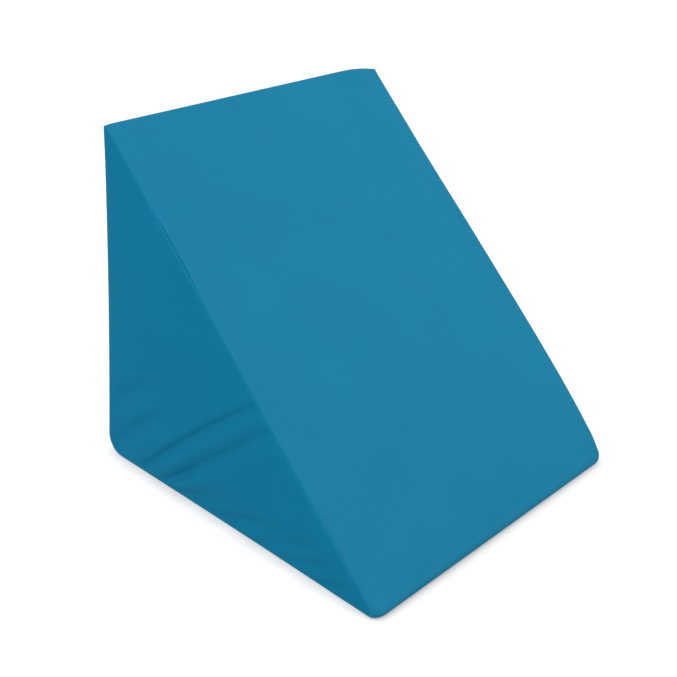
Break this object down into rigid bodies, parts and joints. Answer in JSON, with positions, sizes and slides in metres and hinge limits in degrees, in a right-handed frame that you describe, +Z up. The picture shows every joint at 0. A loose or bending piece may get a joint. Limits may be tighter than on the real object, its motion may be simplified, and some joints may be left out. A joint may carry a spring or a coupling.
{
  "type": "wedge positioning pillow",
  "caption": "Firm filled wedge pillow with a sloped resting face, upright back, flat base and sewn triangular side panels in smooth teal cloth.",
  "frame": {"origin": "the middle of the base, on the surface that the pillow rests on", "axes": "+X across the pillow along its ridge, the toe of the slope towards -Y, the upright back towards +Y, +Z up"},
  "size_m": [0.5242, 0.4852, 0.4568],
  "materials": {
    "wrap_cloth": "smooth coated teal cloth, faint sheen",
    "side_cloth": "smooth coated teal cloth, softly creased"
  },
  "bodies": {
    "root": {"wrap_cushion": "wrap_cloth", "side_panel_left": "side_cloth", "side_panel_right": "side_cloth"}
  },
  "joints": []
}
